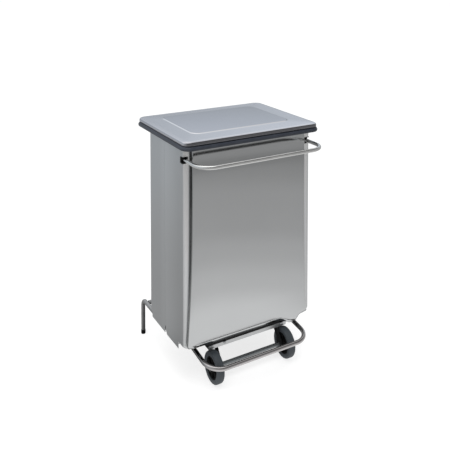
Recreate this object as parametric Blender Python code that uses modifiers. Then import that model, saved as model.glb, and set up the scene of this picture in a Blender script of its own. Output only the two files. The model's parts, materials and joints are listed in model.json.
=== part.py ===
"""Pedal-operated mobile waste bin in stainless steel, with a sealed lid.

Units are metres, +Z is up and the bin's front faces -Y.  The origin is on the
floor, in the middle of the whole footprint.  Every sub-part is one object.
Places below are measured from the middle of the body, which an empty sets
BODY_Y behind the origin; moving pieces hang from empties on their joint axes.
"""
import math

import bmesh
import bpy
from mathutils import Matrix, Vector

# ---- driving dimensions -------------------------------------------------
SHEET = 0.0012              # stainless sheet thickness
GAP = 0.0003                # clearance between neighbouring pieces
BODY_Y = 0.0060             # middle of the body, behind the origin
BODY_W = 0.534              # outer width of the body
BODY_D = 0.2854             # outer depth of the body
BODY_TOP = 0.8580           # top edge of the casing sheets
BODY_CORNER_Z = 0.1500      # bottom edge at the body's corners
BODY_TAB_Z = 0.1305         # bottom edge of the side tabs
BEND_R = 0.0040             # outer bend radius of the casing
SEAM_Y = 0.0080             # joint between front and rear casing
FLANGE_W = 0.0300           # front flange, from the body's side
FLANGE_RETURN = 0.0140      # inner fold of the flange, towards the back
REAR_NOTCH = 0.0150         # depth of the rear corners' notches
CORNER_SLOT_D = 0.0180      # slots for the handle, back from the front face
CORNER_SLOT_H = 0.0120      # half height of those slots
CUT_REACH = 0.3000          # how far cutters reach out to the sides
# lower edge of a front flange, as (x, z) from the outside inwards
FLANGE_FOOT = ((0.2680, 0.1560), (0.2625, 0.1520), (0.2570, 0.1475), (0.2490, 0.1445),
               (0.2400, 0.1430), (0.2000, 0.1430))
# slit and chamfer at the foot of the side seam, as (y, z) from the seam
SEAM_FOOT = ((0.0020, 0.1570), (-0.0050, 0.1570), (-0.0050, 0.1430), (-0.0170, 0.1290))

PANEL_TOP = 0.8550
PANEL_BOTTOM = 0.1420
PANEL_TAB_Z = 0.1210        # lower edge of the panel's corner tab
PANEL_HALF_W = 0.2385       # half width at the top
PANEL_FLARE = 0.0200        # how much wider each side is at the bottom
PANEL_PROUD = 0.0155        # how far the face stands off the flanges at the top
PANEL_TUCK = 0.0085         # how much of that is lost at the bottom
PANEL_BEND = 0.0030         # bend radius at the panel's sides
PANEL_CORNER = 0.0140       # radius of the panel's lower corners
# heights at which the panel's section is drawn, closer together towards the flare
PANEL_LEVELS = (PANEL_TOP, 0.66, 0.50, 0.40, 0.32, 0.25, 0.20, 0.16, PANEL_TAB_Z)
TAB_X = (0.1300, 0.1500, 0.1700, 0.1985, 0.2210)    # slope and sides of the corner tab

RIM_FRONT = 0.0145          # front of rim and tray, behind the body's front face
RIM_WIDE = 0.0120
RIM_Z = (0.0170, 0.0010)    # lower and upper face, below the body's top
TRAY_Z = (0.1505, 0.1700)
RING_HALF = (0.2300, 0.1050)
RING_WIRE_R = 0.0035
RING_DROP = 0.0060          # sack ring, below the body's top

LID_W = 0.5611
LID_D = 0.4297
LID_Y = 0.0245              # lid centre, behind the body's centre
LID_TOP = 0.8800
LID_R = 0.0300
EMBOSS_H = 0.0030
EMBOSS_HALF = (0.2100, 0.1470)
EMBOSS_Y = 0.0380
EMBOSS_R = 0.0340
SEAL_W = 0.5700
SEAL_D = 0.4385
SEAL_T = 0.0130
SEAL_Z = (0.8497, 0.8640)

HANDLE_R = 0.0070
HANDLE_HALF = 0.2550
HANDLE_FRONT = -0.2620
HANDLE_Z = 0.8075
HANDLE_BACK = -0.0900       # the bar's ends inside the body
GROMMET_PROUD = 0.0012
GROMMET_IN = 0.0080         # inner edge, from the bar's centre
LOOP_BEND = 0.0600

TUBE_R = 0.0080
PEDAL_HALF = 0.2067
PEDAL_FRONT = -0.2375
PEDAL_FRONT_Z = 0.0980
PIVOT = (0.0, 0.1215)       # y and z of the pedal's pivot rod
PIVOT_R = 0.0050
CROSS_TUBE_R = 0.0080

BASE_TUBE_X = 0.2562
BASE_TUBE_Z = 0.1400
BASE_TUBE_FRONT = -0.0850
FOOT_Y = 0.2480
FOOT_BEND = 0.0250

WHEEL_R = 0.0550
WHEEL_Y = -0.1540
WHEEL_OUT = 0.1645          # outer face of each tyre
WHEEL_T = 0.0280
AXLE_R = 0.0070
RIM_R = 0.0380
BRACKET_X = 0.1280          # middle of each wheel bracket's plate
BRACKET_R = 0.0150          # rounded end of the bracket, round the axle
PLATE_T = 0.0040            # thickness of the bracket plates

CHANNEL_Y = -0.1370         # front face of the cross channel
CHANNEL_Z = (0.1122, 0.1480)
CHANNEL_HALF = (0.1650, 0.1810)
LIP_T = 0.0024              # bright strip on the channel's lower edge
LIP_Z = (0.1120, 0.1252)
SCREW_X = {"left": -0.0995, "right": 0.1445}
SCREW_DROP = 0.0030         # screw centres, below the strip's top edge

HINGE = (0.2120, 0.8400)    # y and z of the lid's hinge
HINGE_R = 0.0040
LEVER = 0.0450              # hinge to lift-rod pin
ROD_R = 0.0040
ROD_FOOT_Z = 0.1005
EYE_R = 0.0075              # eye at the top of the lift rod
LEAF_X = 0.0120             # middle of each lid lever
ARM_X = 0.0270              # middle of each hinge arm
PIVOT_BRACKET_X = 0.2270

BLACK = ((0.02, 0.02, 0.022), 0.5, 0.0)
RUBBER = ((0.055, 0.06, 0.068), 0.75, 0.0)
STEEL = ((0.60, 0.61, 0.61), 0.32, 1.0)
BRIGHT = ((0.72, 0.72, 0.72), 0.18, 1.0)
DARK_STEEL = ((0.05, 0.05, 0.055), 0.45, 0.6)


# ---- helpers ------------------------------------------------------------
def clear_scene():
    for obj in list(bpy.data.objects):
        bpy.data.objects.remove(obj, do_unlink=True)


def collection(name):
    group = bpy.data.collections.get(name) or bpy.data.collections.new(name)
    if name not in bpy.context.scene.collection.children:
        bpy.context.scene.collection.children.link(group)
    return group


def paint(obj, look):
    colour, roughness, metallic = look
    mat = bpy.data.materials.new(obj.name + "_finish")
    mat.use_nodes = True
    shader = mat.node_tree.nodes["Principled BSDF"]
    shader.inputs["Base Color"].default_value = (*colour, 1.0)
    shader.inputs["Roughness"].default_value = roughness
    shader.inputs["Metallic"].default_value = metallic
    obj.data.materials.clear()
    obj.data.materials.append(mat)


def add(name, data, look, location=(0, 0, 0), rotation=(0, 0, 0)):
    obj = bpy.data.objects.new(name, data)
    PARTS.objects.link(obj)
    obj.location = location
    obj.rotation_euler = rotation
    paint(obj, look)
    return obj


def smooth(obj, angle=35.0):
    obj.data.shade_smooth()
    obj.data.set_sharp_from_angle(angle=math.radians(angle))
    return obj


def box_mesh(name, size):
    mesh = bpy.data.meshes.new(name)
    bm = bmesh.new()
    bmesh.ops.create_cube(bm, size=1.0)
    bmesh.ops.scale(bm, vec=size, verts=bm.verts)
    bm.to_mesh(mesh)
    bm.free()
    return mesh


def box(name, low, high, look, bevel=0.0):
    low, high = Vector(low), Vector(high)
    obj = add(name, box_mesh(name, high - low), look, (low + high) / 2)
    if bevel:
        mod = obj.modifiers.new("edge", "BEVEL")
        mod.width = bevel
        mod.segments = 2
    return obj


def rod_mesh(name, radius, length, sides):
    mesh = bpy.data.meshes.new(name)
    bm = bmesh.new()
    bmesh.ops.create_cone(bm, cap_ends=True, segments=sides, radius1=radius,
                          radius2=radius, depth=length)
    bm.to_mesh(mesh)
    bm.free()
    return mesh


def rod_x(name, radius, x0, x1, y, z, look, sides=20):
    mesh = rod_mesh(name, radius, x1 - x0, sides)
    obj = add(name, mesh, look, ((x0 + x1) / 2, y, z), (0, math.pi / 2, 0))
    return smooth(obj)


def turned_x(name, profile, centre, look, steps=40):
    """Turn a closed (radius, x) profile about an axis along X."""
    mesh = bpy.data.meshes.new(name)
    count = len(profile)
    verts = [(radius, 0.0, along) for radius, along in profile]
    mesh.from_pydata(verts, [(i, (i + 1) % count) for i in range(count)], [])
    obj = add(name, mesh, look, centre, (0, math.pi / 2, 0))
    mod = obj.modifiers.new("turn", "SCREW")
    mod.axis = "Z"
    mod.steps = steps
    mod.render_steps = steps
    mod.use_merge_vertices = True
    mod.merge_threshold = 0.0001
    mod.use_smooth_shade = True
    return obj


def ring_profile(inner, outer, half):
    """A square-edged ring, drawn so that its outer side runs downwards."""
    return [(outer, half), (outer, -half), (inner, -half), (inner, half)]


def arc(centre, radius, start, end, count):
    step = (end - start) / count
    return [(centre[0] + radius * math.cos(math.radians(start + step * i)),
             centre[1] + radius * math.sin(math.radians(start + step * i)))
            for i in range(count + 1)]


def tube(name, points, radius, look, resolution=2):
    curve = bpy.data.curves.new(name, "CURVE")
    curve.dimensions = "3D"
    curve.bevel_depth = radius
    curve.bevel_resolution = resolution
    curve.use_fill_caps = True
    spline = curve.splines.new("POLY")
    spline.points.add(len(points) - 1)
    for point, place in zip(spline.points, points):
        point.co = (*place, 1.0)
    return add(name, curve, look)


def hoop(name, points, radius, look, resolution=2):
    obj = tube(name, points, radius, look, resolution)
    obj.data.splines[0].use_cyclic_u = True
    obj.data.use_fill_caps = False
    return obj


def plate_curve(name, outlines, thickness):
    curve = bpy.data.curves.new(name, "CURVE")
    curve.dimensions = "2D"
    curve.fill_mode = "BOTH"
    curve.extrude = thickness / 2
    for outline in outlines:
        spline = curve.splines.new("POLY")
        spline.points.add(len(outline) - 1)
        for point, place in zip(spline.points, outline):
            point.co = (place[0], place[1], 0.0, 1.0)
        spline.use_cyclic_u = True
    return curve


def plate_yz(name, outlines, x, thickness, look):
    """A flat plate whose outline is in (y, z), centred on x."""
    curve = plate_curve(name, outlines, thickness)
    turn = (math.pi / 2, 0, math.pi / 2)
    return add(name, curve, look, (x, 0, 0), turn)


def as_mesh(obj):
    """Turn a curve object into a welded mesh object of the same name."""
    bpy.context.view_layer.update()
    graph = bpy.context.evaluated_depsgraph_get()
    mesh = bpy.data.meshes.new_from_object(obj.evaluated_get(graph))
    bm = bmesh.new()
    bm.from_mesh(mesh)
    bmesh.ops.remove_doubles(bm, verts=bm.verts, dist=0.00001)
    bm.to_mesh(mesh)
    bm.free()
    name, place = obj.name, obj.matrix_world.copy()
    bpy.data.objects.remove(obj, do_unlink=True)
    new = bpy.data.objects.new(name, mesh)
    PARTS.objects.link(new)
    new.matrix_world = place
    return new


def as_cutter(obj):
    PARTS.objects.unlink(obj)
    CUTTERS.objects.link(obj)
    obj.hide_render = True
    obj.display_type = "WIRE"
    return obj


def cutter_box(name, low, high):
    return as_cutter(box(name, low, high, BLACK))


def cutter_plate_xz(name, outline, y, thickness):
    """A prism whose outline is in (x, z), centred on y."""
    curve = plate_curve(name, [outline], thickness)
    obj = add(name, curve, BLACK, (0, y, 0), (math.pi / 2, 0, 0))
    return as_cutter(as_mesh(obj))


def cutter_plate_yz(name, outline, x, thickness):
    """A prism whose outline is in (y, z), centred on x."""
    return as_cutter(as_mesh(plate_yz(name, [outline], x, thickness, BLACK)))


def boolean(obj, other, operation="DIFFERENCE"):
    mod = obj.modifiers.new(operation.lower(), "BOOLEAN")
    mod.operation = operation
    mod.solver = "EXACT"
    mod.object = other
    return obj


def solidify(obj, thickness, offset=-1.0):
    mod = obj.modifiers.new("sheet", "SOLIDIFY")
    mod.thickness = thickness
    mod.offset = offset
    mod.use_even_offset = True
    return obj


def wall(name, path, z0, z1, look):
    """Folded sheet standing on a plan path; its outer side is on the right."""
    mesh = bpy.data.meshes.new(name)
    bm = bmesh.new()
    low = [bm.verts.new((x, y, z0)) for x, y in path]
    high = [bm.verts.new((x, y, z1)) for x, y in path]
    for i in range(len(path) - 1):
        bm.faces.new((low[i], low[i + 1], high[i + 1], high[i]))
    bm.to_mesh(mesh)
    bm.free()
    return solidify(add(name, mesh, look), SHEET)


def corner_path(centre, start, end, count=3):
    return arc(centre, BEND_R, start, end, count)


def rounded_loop(half_x, half_y, radius, centre_y, z, count=6):
    """Points of a rounded rectangle, anticlockwise seen from above."""
    points = []
    corners = ((1, 1, 0), (-1, 1, 90), (-1, -1, 180), (1, -1, 270))
    for sx, sy, start in corners:
        centre = (sx * (half_x - radius), centre_y + sy * (half_y - radius))
        points += [(x, y, z) for x, y in arc(centre, radius, start, start + 90, count)]
    return points


def skin_loops(bm, loops, close_last=False, close_ring=False):
    rings = [[bm.verts.new(p) for p in loop] for loop in loops]
    pairs = list(zip(rings, rings[1:]))
    if close_ring:
        pairs.append((rings[-1], rings[0]))
    for lower, upper in pairs:
        count = len(lower)
        for i in range(count):
            j = (i + 1) % count
            bm.faces.new((lower[i], lower[j], upper[j], upper[i]))
    if close_last:
        bm.faces.new(rings[-1])


def add_skin(name, loops, look, close_last=False, close_ring=False):
    mesh = bpy.data.meshes.new(name)
    bm = bmesh.new()
    skin_loops(bm, loops, close_last, close_ring)
    bmesh.ops.recalc_face_normals(bm, faces=bm.faces)
    bm.to_mesh(mesh)
    bm.free()
    return add(name, mesh, look)


# ---- casing -------------------------------------------------------------
def rear_casing():
    half_w, half_d, r = BODY_W / 2, BODY_D / 2, BEND_R
    path = [(half_w, SEAM_Y + GAP)]
    path += corner_path((half_w - r, half_d - r), 0, 90)
    path += corner_path((-half_w + r, half_d - r), 90, 180)
    path += [(-half_w, SEAM_Y + GAP)]
    obj = wall("rear_casing", path, BODY_TAB_Z, BODY_TOP, STEEL)
    notch_y = half_d - REAR_NOTCH
    cut = cutter_box("rear_notch", (-CUT_REACH, notch_y, 0.1), (CUT_REACH, 0.2, BODY_CORNER_Z))
    return boolean(obj, cut)


def front_casing(side, name):
    half_w, half_d, r = BODY_W / 2, BODY_D / 2, BEND_R
    inner = half_w - FLANGE_W
    path = [(-inner, -half_d + FLANGE_RETURN), (-inner, -half_d)]
    path += corner_path((-half_w + r, -half_d + r), 270, 180)
    path += [(-half_w, SEAM_Y - GAP)]
    if side > 0:
        path = [(-x, y) for x, y in path]
    else:
        path = path[::-1]
    obj = wall(name, path, BODY_TAB_Z, BODY_TOP, STEEL)
    floor_z = 0.1000
    foot = [(side * x, z) for x, z in FLANGE_FOOT]
    foot = [(side * CUT_REACH, floor_z), (side * CUT_REACH, foot[0][1])] + foot
    foot += [(foot[-1][0], floor_z)]
    notch_back = -half_d + 0.0380
    boolean(obj, cutter_plate_xz(name + "_notch", foot, notch_back - 0.0500, 0.1000))
    seam = [(SEAM_Y + y, z) for y, z in SEAM_FOOT]
    seam = [(seam[0][0], floor_z)] + seam + [(seam[-1][0], floor_z)]
    boolean(obj, cutter_plate_yz(name + "_seam", seam, side * half_w, 0.0100))
    slot_x = sorted((side * (half_w + 0.005), side * (HANDLE_HALF - 0.0085)))
    slot = cutter_box(name + "_slot", (slot_x[0], -0.2, HANDLE_Z - CORNER_SLOT_H),
                      (slot_x[1], -half_d + CORNER_SLOT_D, HANDLE_Z + CORNER_SLOT_H))
    return boolean(obj, slot)


def panel_section(z):
    """Half width and face position of the front panel at height z."""
    drop = (PANEL_TOP - z) / (PANEL_TOP - PANEL_TAB_Z)
    half = PANEL_HALF_W + PANEL_FLARE * drop ** 3
    face = -BODY_D / 2 - PANEL_PROUD + PANEL_TUCK * drop ** 3
    return half, face


def front_panel():
    back = -BODY_D / 2 - GAP * 2
    rows = []
    bend = PANEL_BEND
    for z in PANEL_LEVELS:
        half, face = panel_section(z)
        row = [(-half, back, z)]
        row += [(x, y, z) for x, y in arc((-half + bend, face + bend), bend, 180, 270, 3)]
        row += [(x, y, z) for x, y in arc((half - bend, face + bend), bend, 270, 360, 3)]
        row += [(half, back, z)]
        rows.append(row)
    mesh = bpy.data.meshes.new("front_panel")
    bm = bmesh.new()
    grid = [[bm.verts.new(p) for p in row] for row in rows]
    for upper, lower in zip(grid, grid[1:]):
        for i in range(len(upper) - 1):
            bm.faces.new((lower[i], lower[i + 1], upper[i + 1], upper[i]))
    bm.to_mesh(mesh)
    bm.free()
    trim_panel(solidify(add("front_panel", mesh, STEEL), SHEET))


def trim_panel(obj):
    """Cut the panel's lower edge, which leaves the tab at the right corner."""
    low = PANEL_TAB_Z - 0.02
    corner = PANEL_CORNER
    edge = PANEL_HALF_W + PANEL_FLARE
    slope_start, slope_mid, tab_left, tab_right, tab_end = TAB_X
    left = [(-CUT_REACH, low), (slope_start, low), (slope_start, PANEL_BOTTOM),
            (-edge + corner, PANEL_BOTTOM)]
    left += arc((-edge + corner, PANEL_BOTTOM + corner), corner, 270, 180, 4)[1:]
    side_z = PANEL_BOTTOM + corner * 1.6
    left += [(-edge, side_z), (-CUT_REACH, side_z)]
    boolean(obj, cutter_plate_xz("panel_bottom_cut", left, -0.145, 0.08))
    before = slope_start - 0.0010
    slope = [(before, low), (tab_left, low), (tab_left, PANEL_TAB_Z + 0.0010),
             (slope_mid, PANEL_BOTTOM - 0.0100), (before, PANEL_BOTTOM)]
    boolean(obj, cutter_plate_xz("panel_slope_cut", slope, -0.145, 0.08))
    right = [(CUT_REACH, low), (CUT_REACH, side_z), (edge, side_z)]
    right += arc((edge - corner, PANEL_BOTTOM + corner), corner, 0, -90, 4)
    right += [(tab_end, PANEL_BOTTOM), (tab_right, PANEL_TAB_Z + 0.0005), (tab_right, low)]
    return boolean(obj, cutter_plate_xz("panel_right_cut", right, -0.145, 0.08))


def panel_top_rail():
    """Folded rail between the flanges that the front panel hooks over."""
    half = BODY_W / 2 - FLANGE_W - 0.0020
    y0 = -BODY_D / 2
    box("panel_top_rail", (-half, y0, BODY_TOP - 0.0400),
        (half, y0 + 0.0120, BODY_TOP - 0.0180), STEEL)


def top_rim():
    """Stiffening rim inside the top edge, behind the front flanges."""
    half_w = BODY_W / 2 - SHEET - GAP
    front, back = -BODY_D / 2 + RIM_FRONT, BODY_D / 2 - SHEET - GAP
    half_d, mid = (back - front) / 2, (back + front) / 2
    z0, z1 = BODY_TOP - RIM_Z[0], BODY_TOP - RIM_Z[1]
    loops = []
    for inset, z in ((0.0, z0), (0.0, z1), (RIM_WIDE, z1), (RIM_WIDE, z0)):
        loops.append(rounded_loop(half_w - inset, half_d - inset, 0.0050, mid, z, 2))
    add_skin("top_rim", loops, STEEL, close_ring=True)


def base_tray():
    """Floor of the bin: a tray with a turned-up edge."""
    half_w = BODY_W / 2 - SHEET - GAP
    front, back = -BODY_D / 2 + RIM_FRONT, BODY_D / 2 - SHEET - GAP
    half_d, mid = (back - front) / 2, (back + front) / 2
    z0, z1 = TRAY_Z
    inset = 0.0005
    loops = [rounded_loop(half_w - inset, half_d - inset, 0.0060, mid, z1, 3),
             rounded_loop(half_w - inset, half_d - inset, 0.0060, mid, z0 + 0.0020, 3),
             rounded_loop(half_w - 0.0025, half_d - 0.0025, 0.0040, mid, z0, 3)]
    solidify(add_skin("base_tray", loops, STEEL, close_last=True), SHEET)


def bag_ring():
    """Wire hoop for the sack's rim, on two brackets fixed to the rim's sides."""
    z = BODY_TOP - RING_DROP
    hoop("bag_ring", rounded_loop(*RING_HALF, 0.0400, 0.0, z, 5), RING_WIRE_R, BRIGHT, 1)
    for side in (-1, 1):
        name = "ring_bracket_left" if side < 0 else "ring_bracket_right"
        x0, x1 = sorted((side * 0.2515, side * 0.2240))
        box(name, (x0, -0.0200, z - 0.0080), (x1, 0.0200, z - 0.0038), STEEL)


# ---- lid ----------------------------------------------------------------
def lid_shell():
    half_x, half_y = LID_W / 2, LID_D / 2
    soft = 0.0025
    ex, ey = EMBOSS_HALF
    loops = [
        rounded_loop(half_x, half_y, LID_R, LID_Y, SEAL_Z[1] + GAP),
        rounded_loop(half_x, half_y, LID_R, LID_Y, LID_TOP - soft),
        rounded_loop(half_x - soft * 0.3, half_y - soft * 0.3, LID_R, LID_Y,
                     LID_TOP - soft * 0.3),
        rounded_loop(half_x - soft, half_y - soft, LID_R, LID_Y, LID_TOP),
        rounded_loop(ex, ey, EMBOSS_R, EMBOSS_Y, LID_TOP),
        rounded_loop(ex - 0.0060, ey - 0.0060, EMBOSS_R - 0.0040, EMBOSS_Y,
                     LID_TOP + EMBOSS_H),
    ]
    obj = add_skin("lid_shell", loops, STEEL, close_last=True)
    return smooth(solidify(obj, SHEET))


def lid_seal():
    half_x, half_y = SEAL_W / 2, SEAL_D / 2
    z0, z1 = SEAL_Z
    soft = 0.0040
    rings = ((0.0, z0 + soft), (0.0, z1 - soft), (soft, z1), (SEAL_T, z1),
             (SEAL_T, z0), (soft, z0))
    loops = [rounded_loop(half_x - inset, half_y - inset, LID_R + 0.0040 - inset * 0.8,
                          LID_Y, z) for inset, z in rings]
    return smooth(add_skin("lid_seal", loops, RUBBER, close_ring=True))


def lid_hinge():
    y, z = HINGE
    top = LID_TOP - SHEET - GAP
    barrel = 0.0090
    # the leaf under the lid, with the lever that the lift rod pushes
    leaf_y = y - LEVER - 0.0100
    leaf = [(leaf_y, z - 0.0080), (y - 0.0050, z - 0.0085)]
    leaf += arc((y, z), barrel, -90, 20, 6)[1:]
    leaf += [(y + 0.0095, top - 0.0030), (leaf_y - 0.0350, top - 0.0030),
             (leaf_y - 0.0350, top - 0.0080), (leaf_y - 0.0020, top - 0.0120),
             (leaf_y, z + 0.0080)]
    pin_hole = arc((y, z), HINGE_R + 0.0002, 0, 330, 11)
    lift_hole = arc((y - LEVER, z), 0.0032, 0, 330, 11)
    for side in (-1, 1):
        name = "lid_lever_left" if side < 0 else "lid_lever_right"
        plate_yz(name, [leaf, pin_hole, lift_hole], side * LEAF_X, 0.0030, STEEL)
    box("lid_hinge_plate", (-0.0600, leaf_y - 0.0400, top - 0.0026),
        (0.0600, y + 0.0100, top - 0.0002), STEEL)
    rod_x("lid_hinge_pin", HINGE_R, -0.0330, 0.0330, y, z, BRIGHT)
    rod_x("lift_rod_pin", 0.0030, -0.0180, 0.0180, y - LEVER, z, BRIGHT, 16)


def hinge_arms():
    y, z = HINGE
    back = BODY_D / 2 + GAP
    outline = [(back, 0.7700), (back + 0.0120, 0.7700), (y + 0.0020, z - 0.0100)]
    outline += arc((y, z), 0.0100, -75, 90, 6)
    outline += [(back, z + 0.0030)]
    hole = arc((y, z), HINGE_R + 0.0002, 0, 330, 11)
    for side in (-1, 1):
        name = "hinge_arm_left" if side < 0 else "hinge_arm_right"
        plate_yz(name, [outline, hole], side * ARM_X, PLATE_T, STEEL)


# ---- handle -------------------------------------------------------------
def loop_points(half, front, back, z_back, z_front):
    """Centre line of a U-shaped loop, open at the back."""
    r = LOOP_BEND

    def height(y):
        return z_back + (z_front - z_back) * (back - y) / (back - front)

    flat = [(-half, back)]
    flat += arc((-half + r, front + r), r, 180, 270, 7)
    flat += arc((half - r, front + r), r, 270, 360, 7)
    flat += [(half, back)]
    return [(x, y, height(y)) for x, y in flat]


def handle():
    path = loop_points(HANDLE_HALF, HANDLE_FRONT, HANDLE_BACK, HANDLE_Z - 0.001, HANDLE_Z)
    tube("handle", path, HANDLE_R, BRIGHT, 4)
    for side, word in ((-1, "left"), (1, "right")):
        x = side * HANDLE_HALF
        grommet(side, "handle_grommet_" + word)
        x0, x1 = sorted((side * 0.2646, side * 0.2400))
        clamp = box("handle_clamp_" + word, (x0, -0.1150, HANDLE_Z - 0.0130),
                    (x1, -0.0950, HANDLE_Z + 0.0110), DARK_STEEL)
        hole = as_cutter(rod_y("clamp_hole_" + word, HANDLE_R + GAP, -0.13, -0.08,
                               x, HANDLE_Z - 0.0008))
        boolean(clamp, hole)


def rod_y(name, radius, y0, y1, x, z):
    mesh = rod_mesh(name, radius, y1 - y0, 24)
    return add(name, mesh, BLACK, (x, (y0 + y1) / 2, z), (math.pi / 2, 0, 0))


def grommet(side, name):
    """Plastic plug that fills the corner slot round the handle."""
    half_w, half_d = BODY_W / 2, BODY_D / 2
    x0, x1 = sorted((side * (half_w + GROMMET_PROUD), side * (HANDLE_HALF - GROMMET_IN)))
    half_h = CORNER_SLOT_H - 0.0005
    obj = box(name, (x0, -half_d - GROMMET_PROUD, HANDLE_Z - half_h),
              (x1, -half_d + CORNER_SLOT_D - 0.0005, HANDLE_Z + half_h), BLACK)
    hole = as_cutter(rod_y(name + "_hole", HANDLE_R + GAP, -0.17, -0.10,
                           side * HANDLE_HALF, HANDLE_Z - 0.0005))
    return boolean(obj, hole)


# ---- chassis ------------------------------------------------------------
def base_tubes():
    r = FOOT_BEND
    for side, word in ((-1, "left"), (1, "right")):
        x = side * BASE_TUBE_X
        bend = arc((FOOT_Y - r, BASE_TUBE_Z - r), r, 90, 0, 6)
        points = [(x, BASE_TUBE_FRONT, BASE_TUBE_Z)]
        points += [(x, y, z) for y, z in bend] + [(x, FOOT_Y, 0.0160)]
        tube("base_tube_" + word, points, TUBE_R, BRIGHT, 4)
        foot_cap("foot_cap_" + word, x)
    inner = BASE_TUBE_X - TUBE_R - GAP
    rod_x("rear_cross_tube", TUBE_R, -inner, inner, 0.2120, BASE_TUBE_Z, BRIGHT)


def foot_cap(name, x):
    mesh = rod_mesh(name, TUBE_R + 0.0010, 0.0155, 24)
    obj = add(name, mesh, BLACK, (x, FOOT_Y, 0.0155 / 2))
    mod = obj.modifiers.new("edge", "BEVEL")
    mod.width = 0.0015
    mod.segments = 2
    mod.limit_method = "ANGLE"
    smooth(obj)


def cross_channel():
    """C-shaped channel with slanted ends; its top flange meets the tubes."""
    y0, y1 = CHANNEL_Y, CHANNEL_Y + 0.0400
    z0, z1 = CHANNEL_Z
    t = 0.0025
    web = [(-CHANNEL_HALF[1], z1), (-CHANNEL_HALF[0], z0), (CHANNEL_HALF[0], z0),
           (CHANNEL_HALF[1], z1)]
    curve = plate_curve("cross_channel", [web], y1 - y0)
    obj = add("cross_channel", curve, DARK_STEEL, (0, (y0 + y1) / 2, 0), (math.pi / 2, 0, 0))
    obj = as_mesh(obj)
    paint(obj, DARK_STEEL)
    hollow = cutter_box("channel_hollow", (-0.3, y0 + t, z0 + t), (0.3, y1 + 0.01, z1 - t))
    boolean(obj, hollow)
    lip_half = CHANNEL_HALF[0] + 0.0010
    box("channel_lip", (-lip_half, y0 - LIP_T, LIP_Z[0]), (lip_half, y0 - GAP, LIP_Z[1]), STEEL)
    for side, word in ((-1, "left"), (1, "right")):
        channel_screw("channel_screw_" + word, SCREW_X[word], y0 - LIP_T - GAP,
                      LIP_Z[1] - SCREW_DROP)
        x0, x1 = sorted((side * 0.1500, side * (BASE_TUBE_X - TUBE_R - GAP)))
        box("chassis_gusset_" + word, (x0, -0.1180, 0.1482), (x1, -0.0620, 0.1500), DARK_STEEL)


def channel_screw(name, x, y, z):
    profile = [(0.0052, 0.0000), (0.0052, -0.0012), (0.0038, -0.0030), (0.0018, -0.0038)]
    mesh = bpy.data.meshes.new(name)
    bm = bmesh.new()
    rings = []
    sides = 16
    for radius, depth in profile:
        rings.append([bm.verts.new((radius * math.cos(2 * math.pi * i / sides), depth,
                                    radius * math.sin(2 * math.pi * i / sides)))
                      for i in range(sides)])
    for lower, upper in zip(rings, rings[1:]):
        for i in range(sides):
            j = (i + 1) % sides
            bm.faces.new((lower[i], lower[j], upper[j], upper[i]))
    bm.faces.new(rings[-1])
    bm.faces.new(rings[0])
    bmesh.ops.recalc_face_normals(bm, faces=bm.faces)
    bm.to_mesh(mesh)
    bm.free()
    return smooth(add(name, mesh, BRIGHT, (x, y, z)))


# ---- wheels -------------------------------------------------------------
def wheel_brackets():
    top = CHANNEL_Z[0] - GAP
    y, z = WHEEL_Y, WHEEL_R
    r = BRACKET_R
    outline = [(CHANNEL_Y + 0.0010, top), (y - r, z + 0.0120), (y - r, z)]
    outline += arc((y, z), r, 180, 360, 8)[1:]
    outline += [(y + r, z + 0.0200), (CHANNEL_Y + 0.0360, top)]
    hole = arc((y, z), AXLE_R + 0.0002, 0, 345, 15)
    for side, word in ((-1, "left"), (1, "right")):
        name = "wheel_bracket_" + word
        plate = as_mesh(plate_yz(name, [outline, hole], side * BRACKET_X, PLATE_T, DARK_STEEL))
        paint(plate, DARK_STEEL)
        x0, x1 = sorted((side * (BRACKET_X + 0.0010), side * (BRACKET_X - 0.0320)))
        foot = cutter_box(name + "_foot", (x0, CHANNEL_Y + 0.0020, top - 0.0030),
                          (x1, CHANNEL_Y + 0.0340, top))
        boolean(plate, foot, "UNION")


def wheels():
    y, z = WHEEL_Y, WHEEL_R
    half = WHEEL_T / 2
    centre_x = WHEEL_OUT - half
    hub_half = half - 0.0030
    bore = AXLE_R + 0.0001
    hub = [(RIM_R - GAP, hub_half), (RIM_R - GAP, -hub_half), (RIM_R - 0.0040, -hub_half),
           (RIM_R - 0.0060, -0.0030), (0.0130, -0.0030), (0.0120, -half - 0.0010),
           (bore, -half - 0.0010), (bore, half + 0.0010), (0.0120, half + 0.0010),
           (0.0130, 0.0030), (RIM_R - 0.0060, 0.0030), (RIM_R - 0.0040, hub_half)]
    tyre = [(WHEEL_R - 0.0060, half), (WHEEL_R - 0.0015, half - 0.0045), (WHEEL_R, half - 0.0100),
            (WHEEL_R, -half + 0.0100), (WHEEL_R - 0.0015, -half + 0.0045),
            (WHEEL_R - 0.0060, -half), (RIM_R, -half), (RIM_R, half)]
    for side, word in ((-1, "left"), (1, "right")):
        x = side * centre_x
        turned_x("hub_" + word, hub, (x, y, z), BLACK, 36)
        turned_x("tyre_" + word, tyre, (x, y, z), RUBBER, 48)
        x0, x1 = sorted((side * (WHEEL_OUT + 0.0014), side * (WHEEL_OUT + 0.0064)))
        cap = ring_profile(AXLE_R + GAP / 2, 0.0110, 0.0025)
        turned_x("axle_cap_" + word, cap, ((x0 + x1) / 2, y, z), DARK_STEEL, 24)
    end = WHEEL_OUT + 0.0064
    rod_x("axle", AXLE_R, -end, end, y, z, BRIGHT, 24)


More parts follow.
